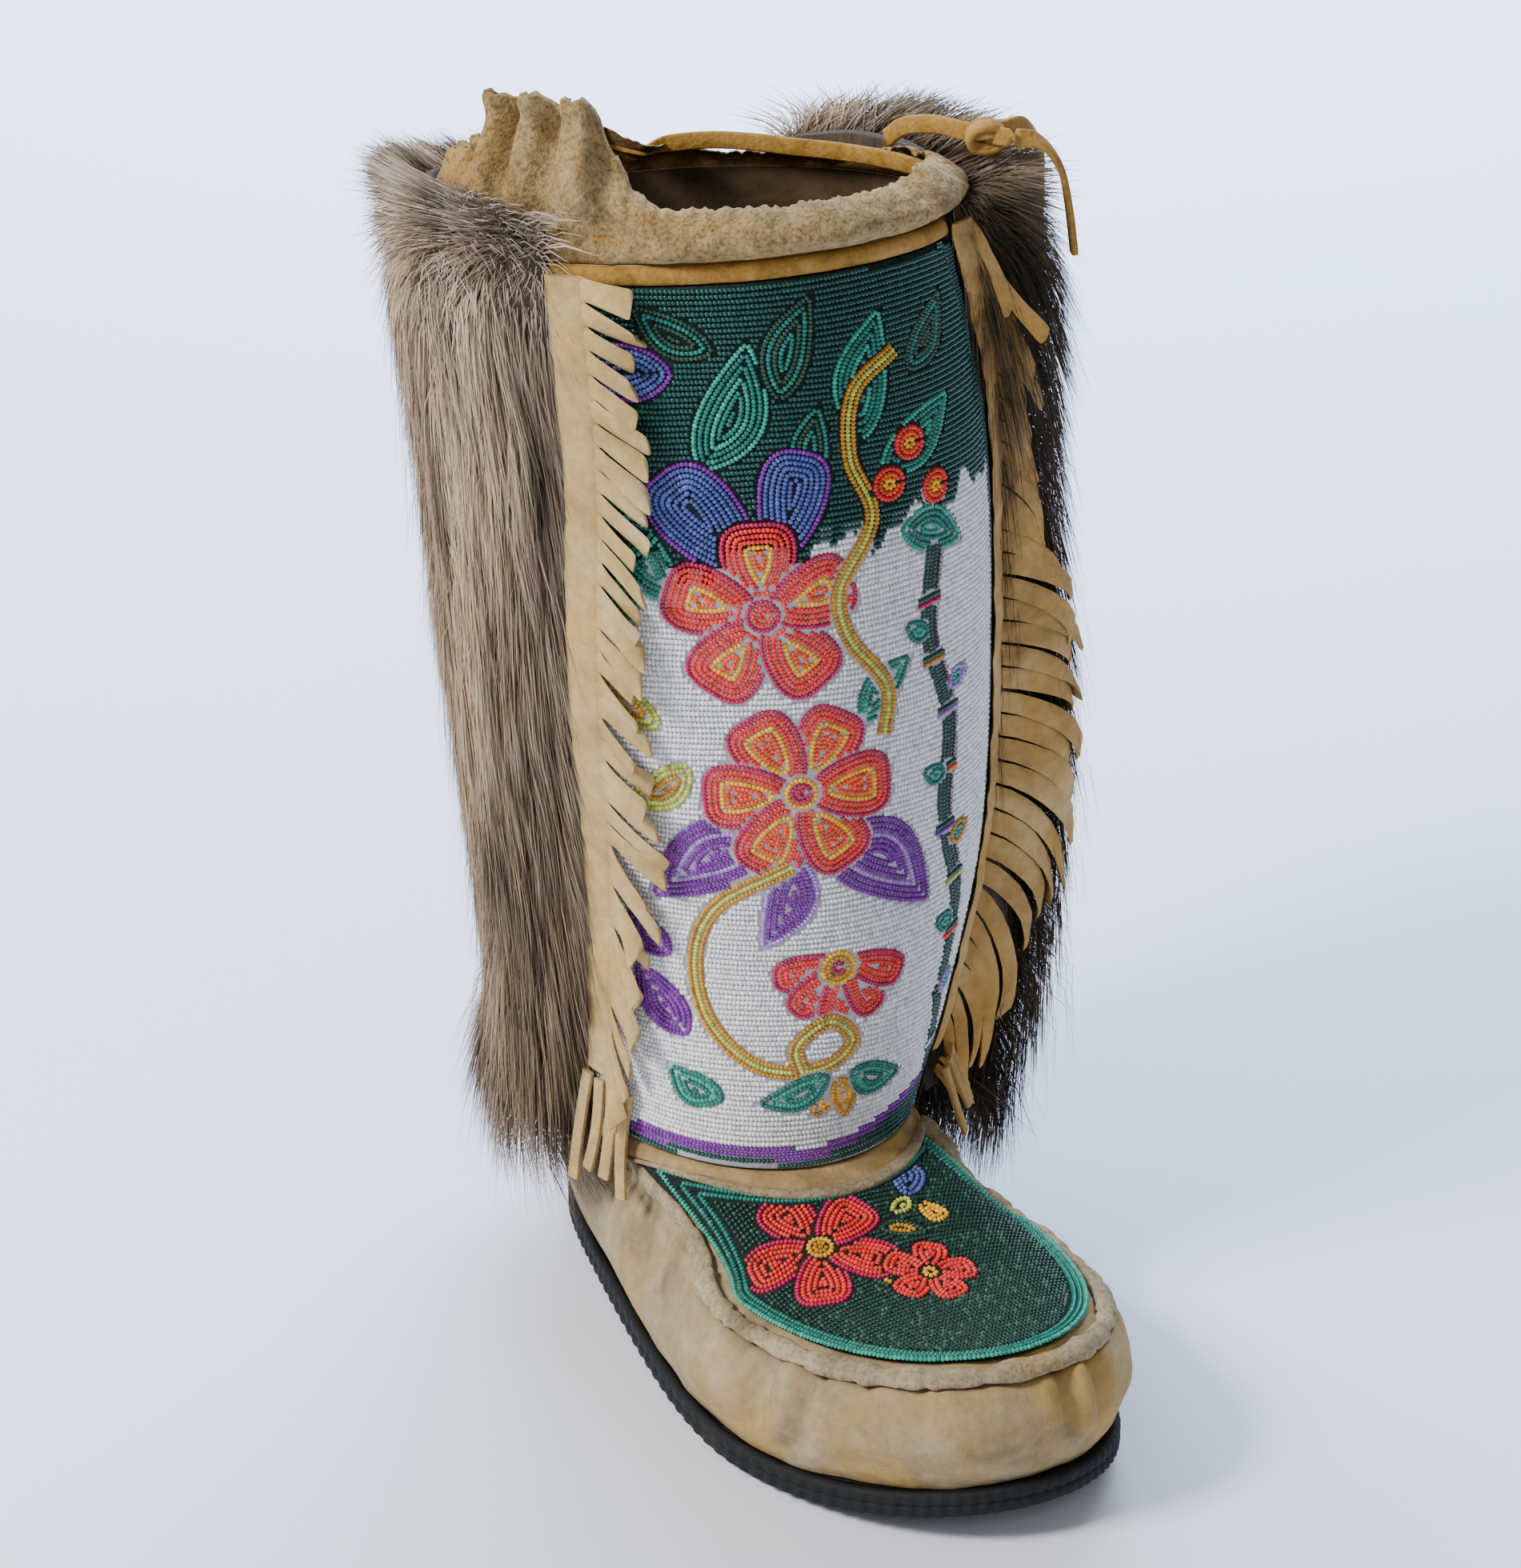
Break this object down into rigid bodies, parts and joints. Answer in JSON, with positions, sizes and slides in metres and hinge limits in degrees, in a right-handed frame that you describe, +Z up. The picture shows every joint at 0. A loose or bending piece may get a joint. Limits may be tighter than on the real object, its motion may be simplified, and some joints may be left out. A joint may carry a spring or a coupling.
{
  "type": "mukluk boot",
  "caption": "Knee-low right mukluk boot of smoked hide with a beaded front and vamp, fur wrap, hide fringes, gathered drawstring collar and flat rubber sole.",
  "frame": {"origin": "On the floor under the middle of the heel", "axes": "Metres, +Z up from the floor to the collar, toe to -Y, inner side of the foot to +X, outer side to -X"},
  "size_m": [0.2211, 0.2849, 0.398],
  "materials": {
    "black_rubber": "matt moulded rubber",
    "insole_felt": "thick felt",
    "smoked_hide": "napped smoke-tanned hide",
    "fringe_hide": "napped pale hide",
    "thong_hide": "smooth tan thong",
    "white_beads": "rows of small opaque glass beads",
    "green_beads": "rows of small faceted glass beads",
    "brown_fur": "long brown fur"
  },
  "bodies": {
    "root": {"outsole": "black_rubber", "insole": "insole_felt", "upper": "smoked_hide", "vamp_plug": "green_beads", "base_binding": "smoked_hide", "front_bead_panel": "white_beads", "top_piping": "thong_hide", "vamp_seam_welt": "smoked_hide", "fringe_lateral": "fringe_hide", "fringe_medial": "fringe_hide", "fur_wrap": "brown_fur", "collar": "smoked_hide", "drawstring": "thong_hide", "tie_knot": "thong_hide", "tie_loop": "thong_hide", "tie_end_front": "thong_hide", "tie_end_back": "thong_hide"}
  },
  "joints": []
}
